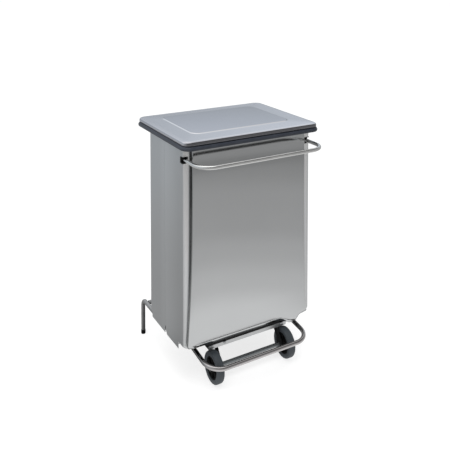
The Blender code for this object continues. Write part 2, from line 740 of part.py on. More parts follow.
# ---- pedal --------------------------------------------------------------
def pedal():
    y, z = PIVOT
    slope = (z - PEDAL_FRONT_Z) / (y - PEDAL_FRONT)
    back = y - CROSS_TUBE_R - GAP * 2
    z_back = PEDAL_FRONT_Z + slope * (back - PEDAL_FRONT)
    tube("pedal_loop", loop_points(PEDAL_HALF, PEDAL_FRONT, back, z_back, PEDAL_FRONT_Z),
         TUBE_R, BRIGHT, 4)
    length = PEDAL_HALF + TUBE_R
    ring = ring_profile(PIVOT_R + 0.0002, CROSS_TUBE_R, length)
    turned_x("pedal_cross_tube", ring, (0, y, z), BRIGHT, 24)
    rod_x("pedal_pivot_rod", PIVOT_R, -0.2420, 0.2420, y, z, BRIGHT)
    lever = [(y + CROSS_TUBE_R + GAP, z - 0.0060), (0.1300, 0.0960), (0.1960, 0.0930),
             (0.1960, 0.0970), (0.1300, 0.1010), (y + CROSS_TUBE_R + GAP, z + 0.0060)]
    plate_yz("pedal_lever", [lever], 0.0, 0.0240, BRIGHT)
    bracket = [(y - 0.0180, 0.1500), (y - 0.0110, z - 0.0080)]
    bracket += arc((y, z), 0.0125, 215, 325, 6)
    bracket += [(y + 0.0110, z - 0.0080), (y + 0.0180, 0.1500)]
    hole = arc((y, z), PIVOT_R + 0.0002, 0, 345, 15)
    for side, word in ((-1, "left"), (1, "right")):
        plate_yz("pivot_bracket_" + word, [bracket, hole], side * PIVOT_BRACKET_X, PLATE_T, DARK_STEEL)


def lift_rod():
    y, z = HINGE[0] - LEVER, HINGE[1]
    ring = ring_profile(0.0034, EYE_R, 0.0060)
    turned_x("lift_rod_eye", ring, (0, y, z), BRIGHT, 24)
    top = z - EYE_R - 0.0004
    mesh = rod_mesh("lift_rod", ROD_R, top - ROD_FOOT_Z, 16)
    smooth(add("lift_rod", mesh, BRIGHT, (0, y, (top + ROD_FOOT_Z) / 2)))
    guide = [(BODY_D / 2 + GAP, 0.3000), (0.1900, 0.3000), (0.1900, 0.3030),
             (BODY_D / 2 + GAP, 0.3030)]
    plate = plate_yz("rod_guide", [guide], 0.0, 0.0400, STEEL)
    plate = as_mesh(plate)
    paint(plate, STEEL)
    boolean(plate, cutter_box("guide_slot", (-0.0062, 0.1540, 0.29), (0.0062, 0.1800, 0.31)))


def empty(name, location, parent=None):
    obj = bpy.data.objects.new(name, None)
    bpy.context.scene.collection.objects.link(obj)
    obj.location = location
    if parent:
        obj.parent = parent
    return obj


def hang(axis, names):
    """Parent objects to an empty without moving them."""
    back = Matrix.Translation(-axis.location)
    for name in names:
        obj = bpy.data.objects[name]
        obj.parent = axis
        obj.matrix_parent_inverse = back


# ---- assembly -----------------------------------------------------------
LID_PIECES = ("lid_shell", "lid_seal", "lid_lever_left", "lid_lever_right",
              "lid_hinge_plate", "lift_rod_pin")
ROD_PIECES = ("lift_rod", "lift_rod_eye")
PEDAL_PIECES = ("pedal_loop", "pedal_cross_tube", "pedal_lever")

clear_scene()
PARTS = collection("waste_bin")
CUTTERS = collection("cutters")

rear_casing()
front_casing(-1, "front_casing_left")
front_casing(1, "front_casing_right")
front_panel()
panel_top_rail()
top_rim()
base_tray()
bag_ring()
lid_shell()
lid_seal()
lid_hinge()
hinge_arms()
handle()
base_tubes()
cross_channel()
wheel_brackets()
wheels()
pedal()
lift_rod()

body_frame = empty("body_frame", (0, 0, 0))
lid_axis = empty("lid_axis", (0, *HINGE), body_frame)
rod_axis = empty("lift_rod_axis", (0, HINGE[0] - LEVER, HINGE[1]), body_frame)
pedal_axis = empty("pedal_axis", (0, *PIVOT), body_frame)
hang(lid_axis, LID_PIECES)
hang(rod_axis, ROD_PIECES)
hang(pedal_axis, PEDAL_PIECES)
hung = LID_PIECES + ROD_PIECES + PEDAL_PIECES
rest = [o.name for o in (*PARTS.objects, *CUTTERS.objects) if o.name not in hung]
hang(body_frame, rest)
body_frame.location.y = BODY_Y
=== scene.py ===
"""Looks of the stainless pedal bin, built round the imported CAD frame."""
import json
import math

import bmesh
import bpy
from mathutils import Matrix, Vector


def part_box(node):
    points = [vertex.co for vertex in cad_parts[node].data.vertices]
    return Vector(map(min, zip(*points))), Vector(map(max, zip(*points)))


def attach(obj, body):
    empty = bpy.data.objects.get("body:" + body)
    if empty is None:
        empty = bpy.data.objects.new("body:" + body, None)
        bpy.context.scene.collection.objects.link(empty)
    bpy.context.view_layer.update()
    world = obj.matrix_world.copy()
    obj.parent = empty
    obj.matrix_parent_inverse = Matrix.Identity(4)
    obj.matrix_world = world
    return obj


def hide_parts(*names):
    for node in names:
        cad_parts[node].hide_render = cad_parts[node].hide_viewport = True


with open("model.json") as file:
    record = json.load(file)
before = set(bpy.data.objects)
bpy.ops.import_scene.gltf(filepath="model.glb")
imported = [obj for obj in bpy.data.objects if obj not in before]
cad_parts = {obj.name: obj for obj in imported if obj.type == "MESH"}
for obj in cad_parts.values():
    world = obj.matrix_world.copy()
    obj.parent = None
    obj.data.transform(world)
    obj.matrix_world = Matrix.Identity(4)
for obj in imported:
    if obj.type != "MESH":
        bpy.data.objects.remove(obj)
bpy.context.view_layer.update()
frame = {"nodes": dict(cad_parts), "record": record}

# ---- sizes shared with the CAD -------------------------------------------
SHEET = 0.0012
BAR_R = 0.0070              # handle bar
TUBE_R = 0.0080             # pedal and foot tubes
LOOP_BEND = 0.0600          # corner radius of handle and pedal
FOOT_BEND = 0.0250
PANEL_BOTTOM = 0.1420
PANEL_FLARE = 0.0200        # extra half width at the panel's bottom
PANEL_TUCK = 0.0085         # how far the panel's bottom sits back
PANEL_CORNER = 0.0140
PANEL_BEND = 0.0030         # outer radius of the panel's folded sides
PANEL_STRAIGHT = 0.2420     # half width of the lower edge between its corners
PANEL_KICK = 0.0034         # how far the panel's lower edge leans forward again
KICK_TOP = 0.2300
KICK_LIFT = 0.0029          # the kicked edge is this much higher than the flat one
PANEL_LEAN = 0.0052         # how far the panel's top leans back
LEAN_FROM = 0.7400          # height where that lean starts
# the tab on the lower edge, left to right: (x, height)
PANEL_TAB = ((-PANEL_STRAIGHT, PANEL_BOTTOM), (0.1300, PANEL_BOTTOM), (0.1400, 0.1385),
             (0.1500, 0.1330), (0.1600, 0.1275), (0.1680, 0.1230), (0.1740, 0.1212),
             (0.1900, 0.1210), (0.1975, 0.1218), (0.2030, 0.1262), (0.2120, 0.1350),
             (0.2180, 0.1402), (0.2240, PANEL_BOTTOM), (PANEL_STRAIGHT, PANEL_BOTTOM))
LID_CORNER = 0.0300
LID_EDGE = 0.0060           # radius between the lid's top and its skirt
# the low step along the lid's rim, inwards: (distance from the edge, rise)
LID_STEP = ((0.0085, 0.0), (0.0100, 0.0001), (0.0125, 0.0009), (0.0140, 0.0010))
STEP_H = LID_STEP[-1][1]
EMBOSS_HALF = (0.2100, 0.1470)
EMBOSS_SHIFT = 0.0135       # raised panel's centre, behind the lid's centre
EMBOSS_H = 0.0030
EMBOSS_SLOPE = 0.0068       # width of the slope round the raised panel
EMBOSS_CORNER = 0.0340
SEAL_THICK = 0.0130
SEAL_LIP = 0.0060           # the seal's lowest part is this high, and this much thinner
GROMMET_WALL = 0.0060       # back wall round the bar
GROMMET_FLOOR = 0.0038
GROMMET_ROOF = 0.0018
GROMMET_LAP = 0.0010        # how far floor and roof run into the back wall
FIT = 0.0003                # gap left between pieces that fit together
SPIN_FIT = 0.0002           # gap between the axle and a hub's bore
RIM_R = 0.0380              # outer radius of a wheel's hub
TREAD_EDGE = 0.0070         # from a tyre's side to its flat tread
SHOULDER = 0.0042           # how far a tyre's shoulder cuts into its side
WEB = 0.0032                # half thickness of a hub's dish
BOSS_R = 0.0130             # outer radius of a hub's middle
BOSS_FOOT_R = 0.0150        # the same where it meets the dish
AXLE_R = 0.0070

# ---- studio settings -----------------------------------------------------
CAMERA_PLACE = (-1.1792, -2.0450, 1.4662)
CAMERA_PAN = 29.47          # degrees to the right of +Y
CAMERA_TILT = 2.56          # degrees down
CAMERA_SENSOR = 36.0        # millimetres
CAMERA_LENS = 50.208        # millimetres
CAMERA_SHIFT = -0.51044     # frame widths
FLOOR_DROP = 0.0003         # the floor lies this far under the wheels
FLOOR_REACH = 4.0           # distance at which the floor's last reflected tone is met
FLOOR_PAINT = (0.40, 0.40, 0.40)
FLOOR_GLOW = (0.70, 0.70, 0.70)
FILL_GREY = 0.80            # the world's brightness for matt surfaces
FRONT_RIGHT = (0.45, -0.89, 0.0)
FRONT_GAIN, FRONT_LEVEL = 1.4, 0.5      # slope and middle of the change from back to front
BIN_MIDDLE = (0, 0, 0.4)
# Reflected tones: (place, brightness, blue tint).  The world's place is the height
# of the direction, and the floor's is the distance as a share of FLOOR_REACH.
WORLD_BEHIND = ((0.0, 0.25, 0.05), (0.10, 0.50, 0.07), (0.26, 0.62, 0.08), (0.50, 0.85, 0.05),
                (0.66, 1.00, 0), (0.86, 1.00, 0), (0.94, 1.70, 0), (1.0, 1.50, 0))
WORLD_AHEAD = ((0.0, 0.34, 0), (0.18, 0.46, 0), (0.36, 0.40, 0), (0.52, 0.14, 0),
               (0.78, 0.16, 0), (0.92, 0.50, 0), (0.98, 1.40, 0), (1.0, 1.50, 0))
# painted light: in reflections the floor shows a painted pool of light round the bin, with a
# painted shadow right under it
FLOOR_PAINTED_LIGHT_BEHIND = ((0.080, 0.04, 0), (0.104, 0.42, 0), (0.20, 0.41, 0), (0.32, 0.42, 0),
                (0.50, 0.50, 0.02), (0.75, 0.56, 0.05), (1.0, 0.55, 0.06))
FLOOR_PAINTED_LIGHT_AHEAD = ((0.040, 0.05, 0), (0.056, 0.92, 0), (0.12, 0.86, 0), (0.18, 0.68, 0),
               (0.26, 0.56, 0), (0.34, 0.47, 0), (0.46, 0.45, 0), (0.60, 0.37, 0),
               (0.68, 0.31, 0), (0.82, 0.28, 0), (1.0, 0.36, 0))


# ---- node helpers --------------------------------------------------------
class Shader:
    """A material's node tree with short calls to add and join nodes."""

    def __init__(self, name):
        self.mat = bpy.data.materials.new(name)
        self.mat.use_nodes = True
        self.tree = self.mat.node_tree
        self.bsdf = self.tree.nodes["Principled BSDF"]

    def add(self, kind, **settings):
        node = self.tree.nodes.new("ShaderNode" + kind)
        for key, value in settings.items():
            setattr(node, key, value)
        return node

    def join(self, source, target):
        self.tree.links.new(source, target)

    def set(self, **values):
        for key, value in values.items():
            self.bsdf.inputs[key.replace("_", " ")].default_value = value

    def noise(self, scale, detail, stretch=(1, 1, 1)):
        """Noise in object space, in metres; a larger stretch is finer on that axis."""
        coords = self.add("TexCoord")
        mapping = self.add("Mapping")
        mapping.inputs["Scale"].default_value = stretch
        noise = self.add("TexNoise")
        noise.inputs["Scale"].default_value = scale
        noise.inputs["Detail"].default_value = detail
        self.join(coords.outputs["Object"], mapping.inputs["Vector"])
        self.join(mapping.outputs["Vector"], noise.inputs["Vector"])
        return noise.outputs["Fac"]

    def spread(self, value, low, high, source=(0.3, 0.7)):
        node = self.add("MapRange")
        node.inputs["From Min"].default_value = source[0]
        node.inputs["From Max"].default_value = source[1]
        node.inputs["To Min"].default_value = low
        node.inputs["To Max"].default_value = high
        self.join(value, node.inputs["Value"])
        return node.outputs["Result"]

    def total(self, first, second, operation="ADD"):
        node = self.add("Math", operation=operation)
        self.join(first, node.inputs[0])
        self.join(second, node.inputs[1])
        return node.outputs["Value"]

    def blend(self, factor, dark, light):
        node = self.add("Mix", data_type="RGBA")
        node.inputs["A"].default_value = (*dark, 1)
        node.inputs["B"].default_value = (*light, 1)
        self.join(factor, node.inputs["Factor"])
        return node.outputs["Result"]

    def fade(self, axis, stops):
        """A factor that changes along one axis; stops are (metres, factor)."""
        first, last = stops[0][0], stops[-1][0]
        coords = self.add("TexCoord")
        split = self.add("SeparateXYZ")
        self.join(coords.outputs["Object"], split.inputs["Vector"])
        place = self.spread(split.outputs[axis], 0.0, 1.0, (first, last))
        curve = self.add("ValToRGB")
        elements = curve.color_ramp.elements
        while len(elements) > 1:
            elements.remove(elements[-1])
        for index, (where, factor) in enumerate(stops):
            position = (where - first) / (last - first)
            element = elements.new(position) if index else elements[0]
            element.position = position
            element.color = (factor / 2, factor / 2, factor / 2, 1)
        self.join(place, curve.inputs["Fac"])
        double = self.add("Math", operation="MULTIPLY")
        self.join(curve.outputs["Color"], double.inputs[0])
        double.inputs[1].default_value = 2.0
        return double.outputs["Value"]

    def facing_factor(self, factor, full, none, axis="Y"):
        """A factor on faces whose normal along axis is beyond full, 1 beyond none."""
        coords = self.add("TexCoord")
        split = self.add("SeparateXYZ")
        self.join(coords.outputs["Normal"], split.inputs["Vector"])
        if full > none:
            return self.spread(split.outputs[axis], 1.0, factor, (none, full))
        return self.spread(split.outputs[axis], factor, 1.0, (full, none))

    def lift(self, span, stops_x, stops_z):
        """1 plus a painted brighter tone on forward faces, painted light; it changes along X and
        with height.
        """
        coords = self.add("TexCoord")
        split = self.add("SeparateXYZ")
        self.join(coords.outputs["Normal"], split.inputs["Vector"])
        node = self.add("Math", operation="MULTIPLY_ADD")
        self.join(self.spread(split.outputs["Y"], 1.0, 0.0, span), node.inputs[0])
        amount = self.total(self.fade("X", stops_x), self.fade("Z", stops_z), "MULTIPLY")
        self.join(amount, node.inputs[1])
        node.inputs[2].default_value = 1.0
        return node.outputs["Value"]

    def scale(self, colour, factor):
        node = self.add("VectorMath", operation="SCALE")
        self.join(colour, node.inputs[0])
        self.join(factor, node.inputs["Scale"])
        return node.outputs["Vector"]

    def bump(self, height, strength, distance, under=None):
        node = self.add("Bump")
        node.inputs["Strength"].default_value = strength
        node.inputs["Distance"].default_value = distance
        self.join(height, node.inputs["Height"])
        if under:
            self.join(under, node.inputs["Normal"])
        return node.outputs["Normal"]


# ---- materials -----------------------------------------------------------
STREAK_ALONG, STREAK_ACROSS = 9, 1500       # how fine the streaks are, per metre
FORWARD = (-0.95, -0.45)    # a normal's Y where the painted light is full, and where it ends


def brushed(name, colour, rough, grain, stretch_to, aniso,
            wave=0.0, painted_fades=(), painted_facing_shade=(), lift=()):
    """Brushed sheet: streaks along the grain, highlights drawn out across it.

    wave is the depth of slow dents.  The next three arguments are painted light and
    shade: (axis, stops) for slow changes of tone over a large sheet, facing_factor's
    arguments for painted shade on faces that look one way, and the stops of a painted
    brighter tone on forward faces."""
    s = Shader(name)
    along = tuple(STREAK_ALONG if axis == grain else STREAK_ACROSS for axis in "XYZ")
    streaks = s.noise(1.0, 5.0, along)
    hair = s.noise(1.0, 2.0, tuple(v * 2.3 for v in along))
    smudge = s.noise(5.0, 3.0)
    dark = tuple(v * 0.965 for v in colour)
    tone = s.spread(s.total(streaks, smudge), 0.0, 1.0, (0.75, 1.25))
    paint = s.blend(tone, dark, colour)
    for axis, stops in painted_fades:
        paint = s.scale(paint, s.fade(axis, stops))
    for change in painted_facing_shade:
        paint = s.scale(paint, s.facing_factor(*change))
    if lift:
        paint = s.scale(paint, s.lift(FORWARD, *lift))
    s.join(paint, s.bsdf.inputs["Base Color"])
    fine = s.spread(streaks, rough[0], rough[1])
    cloudy = s.spread(smudge, -0.012, 0.012)
    s.join(s.total(fine, cloudy), s.bsdf.inputs["Roughness"])
    normal = s.bump(hair, 0.05, 0.00004)
    if wave:
        slow = s.noise(1.6, 1.0)
        normal = s.bump(slow, 1.0, wave, normal)
    s.join(normal, s.bsdf.inputs["Normal"])
    direction = s.add("CombineXYZ")
    for axis, value in zip("XYZ", stretch_to):
        direction.inputs[axis].default_value = value
    s.join(direction.outputs["Vector"], s.bsdf.inputs["Tangent"])
    s.set(Metallic=1.0, Anisotropic=aniso)
    return s.mat


def polished(name, colour, rough, fade=(), painted_facing_shade=()):
    """Polished bar: faint scratches and a slightly cloudy shine."""
    s = Shader(name)
    cloud = s.noise(35.0, 3.0)
    scratch = s.noise(260.0, 4.0)
    dark = tuple(v * 0.93 for v in colour)
    paint = s.blend(s.spread(cloud, 0, 1), dark, colour)
    # painted shade: darker along Y, and darker on faces that look one way
    if fade:
        paint = s.scale(paint, s.fade("Y", fade))
    for change in painted_facing_shade:
        paint = s.scale(paint, s.facing_factor(*change))
    s.join(paint, s.bsdf.inputs["Base Color"])
    s.join(s.spread(cloud, rough * 0.8, rough * 1.25), s.bsdf.inputs["Roughness"])
    s.join(s.bump(scratch, 0.12, 0.00002), s.bsdf.inputs["Normal"])
    s.set(Metallic=1.0)
    return s.mat


def rubber(name, colour, rough, grain=900.0):
    """Moulded rubber: fine pores, uneven sheen and a little lighter dust."""
    s = Shader(name)
    pores = s.noise(grain, 2.0)
    patch = s.noise(22.0, 4.0)
    light = tuple(min(1.0, v * 1.35 + 0.006) for v in colour)
    s.join(s.blend(s.spread(patch, 0, 1), colour, light), s.bsdf.inputs["Base Color"])
    s.join(s.spread(patch, rough - 0.07, rough + 0.08), s.bsdf.inputs["Roughness"])
    s.join(s.bump(pores, 0.25, 0.0002), s.bsdf.inputs["Normal"])
    return s.mat


def coated(name, colour, rough):
    """Black powder coat or moulded plastic with a fine orange-peel surface."""
    s = Shader(name)
    peel = s.noise(420.0, 2.0)
    patch = s.noise(30.0, 3.0)
    light = tuple(v * 1.5 + 0.004 for v in colour)
    s.join(s.blend(s.spread(patch, 0, 1), colour, light), s.bsdf.inputs["Base Color"])
    s.join(s.spread(patch, rough - 0.06, rough + 0.08), s.bsdf.inputs["Roughness"])
    s.join(s.bump(peel, 0.18, 0.0002), s.bsdf.inputs["Normal"])
    s.set(Specular_IOR_Level=0.28)
    return s.mat


ACROSS, DEEP, UP = (1, 0, 0), (0, 1, 0), (0, 0, 1)
# painted light and shade: slow changes of tone that stand in for the studio's uneven light, as
# (metres along the axis, factor)
SIDE_PAINTED_LIGHT = ((-0.143, 0.84), (-0.095, 0.87), (-0.050, 0.95), (0.010, 1.02), (0.060, 0.93),
             (0.143, 0.92))
LID_PAINTED_LIGHT_X = ((-0.285, 0.92), (-0.150, 1.00), (0.285, 1.20))
LID_PAINTED_LIGHT_Y = ((-0.190, 1.10), (-0.100, 1.02), (0.245, 0.93))
FIELD_PAINTED_SHADE = ((-0.120, 1.03), (0.020, 0.98), (0.200, 0.88))
FLANGE_PAINTED_LIGHT = (((-0.2670, 0.60), (-0.2560, 1.35), (0.2560, 1.10), (0.2670, 0.60)),
               ((0.130, 0.32), (0.500, 0.75), (0.850, 1.00)))
PANEL_SHADE = ((-0.2450, 1.00), (-0.2415, 0.40), (0.2415, 0.40), (0.2450, 1.00))
PEDAL_PAINTED_SHADE = ((-0.240, 1.00), (-0.200, 0.95), (-0.165, 0.45), (0.150, 0.45))
STEEL = (0.62, 0.63, 0.635)
SHEET_ROUGH = (0.34, 0.44)
LID_ROUGH = (0.17, 0.22)
MATS = {
    # painted shade: the front panel's faces that look left, its folded left side, at half tone
    "panel": brushed("panel_steel_painted_shade", STEEL, (0.11, 0.14), "Z", ACROSS, 0.85, wave=0.0003,
                     painted_facing_shade=((0.50, -0.90, -0.50, "X"),)),
    # painted light: the side sheets darker towards the front, brightest near the middle
    "casing": brushed("casing_steel_painted_light", STEEL, SHEET_ROUGH, "Z", UP, 0.65, wave=0.0006,
                      painted_fades=(("Y", SIDE_PAINTED_LIGHT),)),
    # painted light: the flanges' forward faces brighter, most at the top; painted shade on the
    # strip beside the front panel
    "flanged": brushed("flanged_casing_painted_light", STEEL, SHEET_ROUGH, "Z", UP, 0.65, wave=0.0006,
                       painted_fades=(("Y", SIDE_PAINTED_LIGHT), ("X", PANEL_SHADE)), lift=FLANGE_PAINTED_LIGHT),
    # painted light on the lid: brighter to the right and to the front; painted shade on its front
    # skirt, at 0.3 tone
    "lid": brushed("lid_steel_painted_light", (0.645, 0.645, 0.685), LID_ROUGH, "X", DEEP, 0.3, wave=0.0003,
                   painted_fades=(("X", LID_PAINTED_LIGHT_X), ("Y", LID_PAINTED_LIGHT_Y)),
                   painted_facing_shade=((0.30, -0.80, -0.35),)),
    # painted shade: the raised panel is the lid's steel painted darker, and darker still towards
    # the back
    "lid_field": brushed("lid_field_painted_shade", (0.57, 0.575, 0.625), LID_ROUGH, "X", DEEP, 0.3,
                         wave=0.0003, painted_fades=(("Y", FIELD_PAINTED_SHADE),)),
    # painted highlight on the raised panel's sloping rim, with painted shade where it slopes back
    # or right
    "crest": brushed("lid_crest_painted_highlight", (0.78, 0.785, 0.81), LID_ROUGH, "X", DEEP, 0.3,
                     wave=0.0003, painted_facing_shade=((0.55, 0.22, 0.04), (0.55, 0.22, 0.04, "X"))),
    "edge": brushed("cut_edge_steel", (0.88, 0.89, 0.89), (0.50, 0.60), "Z", UP, 0.0),
    "hidden": brushed("inner_steel", STEEL, (0.30, 0.42), "Z", UP, 0.5),
    # painted shade: the handle bar's faces that look back, towards the panel, at 0.15 tone
    "bar": polished("bar_steel_painted_shade", (0.82, 0.82, 0.81), 0.22, painted_facing_shade=((0.15, 0.60, 0.15),)),
    # painted shade: the pedal is the handle's steel painted darker for its dark reflections, and
    # darker again towards the back
    "pedal": polished("pedal_steel_painted_shade", (0.57, 0.55, 0.55), 0.09, fade=PEDAL_PAINTED_SHADE),
    "foot": polished("foot_steel", (0.42, 0.42, 0.42), 0.48),
    "axle": polished("axle_steel", (0.26, 0.28, 0.29), 0.34),
    "zinc": polished("screw_steel", (0.70, 0.71, 0.72), 0.28),
    "black_steel": coated("black_steel", (0.004, 0.004, 0.0045), 0.36),
    "black_plastic": coated("black_plastic", (0.002, 0.002, 0.0022), 0.50),
    "hub": coated("hub_plastic", (0.0008, 0.0008, 0.0009), 0.72),
    "seal": rubber("seal_rubber", (0.016, 0.020, 0.029), 0.42),
    "tyre": rubber("tyre_rubber", (0.028, 0.034, 0.040), 0.58, 700.0),
}


# ---- mesh helpers --------------------------------------------------------
def arc(centre, radius, start, end, count):
    """Points of an arc in a plane; angles in degrees."""
    step = math.radians(end - start) / count
    first = math.radians(start)
    return [(centre[0] + radius * math.cos(first + step * i),
             centre[1] + radius * math.sin(first + step * i)) for i in range(count + 1)]


def fillet(points, radius, steps=4):
    """Round the corners of a closed outline."""
    result = []
    count = len(points)
    for i, point in enumerate(points):
        here = Vector(point)
        before = Vector(points[i - 1]) - here
        after = Vector(points[(i + 1) % count]) - here
        cut = min(radius, before.length * 0.45, after.length * 0.45)
        start = here + before.normalized() * cut
        end = here + after.normalized() * cut
        for k in range(steps + 1):
            t = k / steps
            result.append(tuple(start * (1 - t) ** 2 + here * (2 * t * (1 - t)) + end * t * t))
    return result


def rounded_loop(half_x, half_y, radius, centre_y, z):
    """Points of a level rectangle with round corners."""
    points = []
    corners = ((1, 1, 0), (-1, 1, 90), (-1, -1, 180), (1, -1, 270))
    for sx, sy, start in corners:
        centre = (sx * (half_x - radius), centre_y + sy * (half_y - radius))
        points += [(x, y, z) for x, y in arc(centre, radius, start, start + 90, 14)]
    return points


def finish_piece(name, bm, look, body, replaced=(), sharp=40.0, outward=True):
    """Turn a bmesh into a piece that rides on a body and stands for CAD nodes."""
    if outward:
        bmesh.ops.recalc_face_normals(bm, faces=bm.faces)
    mesh = bpy.data.meshes.new(name)
    bm.to_mesh(mesh)
    bm.free()
    mesh.shade_smooth()
    mesh.set_sharp_from_angle(angle=math.radians(sharp))
    obj = bpy.data.objects.new(name, mesh)
    bpy.context.scene.collection.objects.link(obj)
    mesh.materials.append(MATS[look])
    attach(obj, body)
    if replaced:
        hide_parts(*replaced)
    return obj


def join_rings(bm, rings, closed_path=False):
    """Quads between successive closed rings of vertices; returns the faces by band."""
    pairs = list(zip(rings, rings[1:]))
    if closed_path:
        pairs.append((rings[-1], rings[0]))
    bands = []
    for lower, upper in pairs:
        count = len(lower)
        bands.append([bm.faces.new((lower[i], lower[(i + 1) % count],
                                    upper[(i + 1) % count], upper[i])) for i in range(count)])
    return bands


def turned(name, profile, centre, look, body, replaced, steps, sharp):
    """Turn a closed (radius, x) profile about the line through centre along X."""
    bm = bmesh.new()
    cx, cy, cz = centre
    rings = []
    for k in range(steps):
        a = 2 * math.pi * k / steps
        rings.append([bm.verts.new((cx + x, cy + r * math.cos(a), cz + r * math.sin(a)))
                      for r, x in profile])
    join_rings(bm, rings, closed_path=True)
    return finish_piece(name, bm, look, body, replaced, sharp)


def sweep(name, path, radius, look, body, replaced):
    """Round bar along a path of points, with a small chamfer at its ends."""
    sides, cap = 32, 0.0006
    points = [Vector(p) for p in path]
    last = len(points) - 1
    tangents = []
    for i in range(len(points)):
        ahead = points[min(i + 1, last)]
        behind = points[max(i - 1, 0)]
        tangents.append((ahead - behind).normalized())
    side = tangents[0].orthogonal().normalized()
    frames = []
    for tangent in tangents:
        side = (side - tangent * side.dot(tangent)).normalized()
        frames.append((side.copy(), tangent.cross(side)))
    bm = bmesh.new()

    def ring(i, size, slide=0.0):
        u, v = frames[i]
        middle = points[i] + tangents[i] * slide
        return [bm.verts.new(middle + (u * math.cos(a) + v * math.sin(a)) * size)
                for a in (2 * math.pi * k / sides for k in range(sides))]

    rings = [ring(0, radius - cap), ring(0, radius, cap)]
    rings += [ring(i, radius) for i in range(1, last)]
    rings += [ring(last, radius, -cap), ring(last, radius - cap)]
    join_rings(bm, rings)
    bm.faces.new(rings[0])
    bm.faces.new(rings[-1])
    return finish_piece(name, bm, look, body, replaced)


def u_path(half, front, back, z_front, z_back):
    """Centre line of a handle or pedal loop, open at the back."""
    bend = LOOP_BEND
    def height(y):
        return z_back + (z_front - z_back) * (back - y) / (back - front)

    flat = [(-half, back + (front + bend - back) * k / 6) for k in range(6)]
    flat += arc((-half + bend, front + bend), bend, 180, 270, 18)
    flat += [(x, front) for x in (-half * 0.4, 0.0, half * 0.4)]
    flat += arc((half - bend, front + bend), bend, 270, 360, 18)
    flat += [(half, front + bend + (back - front - bend) * (k + 1) / 6) for k in range(6)]
    return [(x, y, height(y)) for x, y in flat]


def soften(obj, width, segments=2):
    """Round a CAD node's edges without touching its mesh."""
    mod = obj.modifiers.new("soft_edge", "BEVEL")
    mod.width = width
    mod.segments = segments
    mod.limit_method = "ANGLE"
    mod.angle_limit = math.radians(40)


# ---- lid -----------------------------------------------------------------
def lid():
    """Pressed shell: skirt, round edge, low step and a raised panel."""
    low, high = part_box("lid_shell")
    half_x, half_y = (high.x - low.x) / 2, (high.y - low.y) / 2
    mid_y = (high.y + low.y) / 2
    top = high.z - EMBOSS_H
    rings = [(0.0, low.z), (0.0, top - LID_EDGE)]
    rings += [(LID_EDGE - dx, top - LID_EDGE + dz)
              for dx, dz in arc((0, 0), LID_EDGE, 0, 90, 10)[1:]]
    rings += [(inset, top + rise) for inset, rise in LID_STEP]
    bm = bmesh.new()
    loops = [rounded_loop(half_x - inset, half_y - inset, LID_CORNER - inset * 0.7, mid_y, z)
             for inset, z in rings]
    ex, ey = EMBOSS_HALF
    steps = 8
    for k in range(steps + 1):
        t = k / steps
        inset = EMBOSS_SLOPE * t
        z = top + STEP_H + (3 * t * t - 2 * t ** 3) * (EMBOSS_H - STEP_H)
        loops.append(rounded_loop(ex - inset, ey - inset, EMBOSS_CORNER - inset * 0.5,
                                  mid_y + EMBOSS_SHIFT, z))
    verts = [[bm.verts.new(p) for p in loop] for loop in loops]
    bands = join_rings(bm, verts)
    field = bm.faces.new(verts[-1])
    # the raised panel's top carries painted shade, its sloping rim a painted highlight
    field_shade_slot, crest_highlight_slot = 1, 2
    for slot, part in ((crest_highlight_slot, bands[-7:-2]), (field_shade_slot, bands[-2:])):
        for band in part:
            for face in band:
                face.material_index = slot
    field.material_index = field_shade_slot
    obj = finish_piece("lid", bm, "lid", "lid", ("lid_shell",), 50.0)
    obj.data.materials.append(MATS["lid_field"])
    obj.data.materials.append(MATS["crest"])
    mod = obj.modifiers.new("sheet", "SOLIDIFY")
    mod.thickness = SHEET
    mod.offset = -1.0
    return obj


def seal():
    """Closed rubber ring under the lid's skirt, with a thinner lip below."""
    low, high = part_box("lid_seal")
    half_x, half_y = (high.x - low.x) / 2, (high.y - low.y) / 2
    mid_y = (high.y + low.y) / 2
    z0, z1 = low.z, high.z
    inner = SEAL_THICK - SEAL_LIP
    outline = [(0.0015, z0), (0.0, z0 + 0.0070), (0.0, z1 - 0.0060), (0.0042, z1 + 0.0006),
               (SEAL_THICK, z1), (SEAL_THICK, z0 + 0.0110), (inner, z0 + SEAL_LIP),
               (inner, z0)]
    section = fillet(outline, 0.0030, 4)
    bm = bmesh.new()
    corner = LID_CORNER + 0.0040
    verts = [[bm.verts.new(p) for p in
              rounded_loop(half_x - inset, half_y - inset, corner - inset * 0.8, mid_y, z)]
             for inset, z in section]
    join_rings(bm, verts, closed_path=True)
    return finish_piece("edge_seal", bm, "seal", "lid", ("lid_seal",), 60.0)


# ---- front panel ---------------------------------------------------------
def panel_bottom(x):
    """Height of the front panel's lower edge at x, with the tab on the right."""
    away = abs(x) - PANEL_STRAIGHT
    if away > 0:
        drop = math.sqrt(max(0.0, PANEL_CORNER ** 2 - min(away, PANEL_CORNER) ** 2))
        return PANEL_BOTTOM + PANEL_CORNER - drop
    for (x0, z0), (x1, z1) in zip(PANEL_TAB, PANEL_TAB[1:]):
        if x0 <= x <= x1:
            return z0 + (z1 - z0) * (x - x0) / (x1 - x0)
    return PANEL_BOTTOM


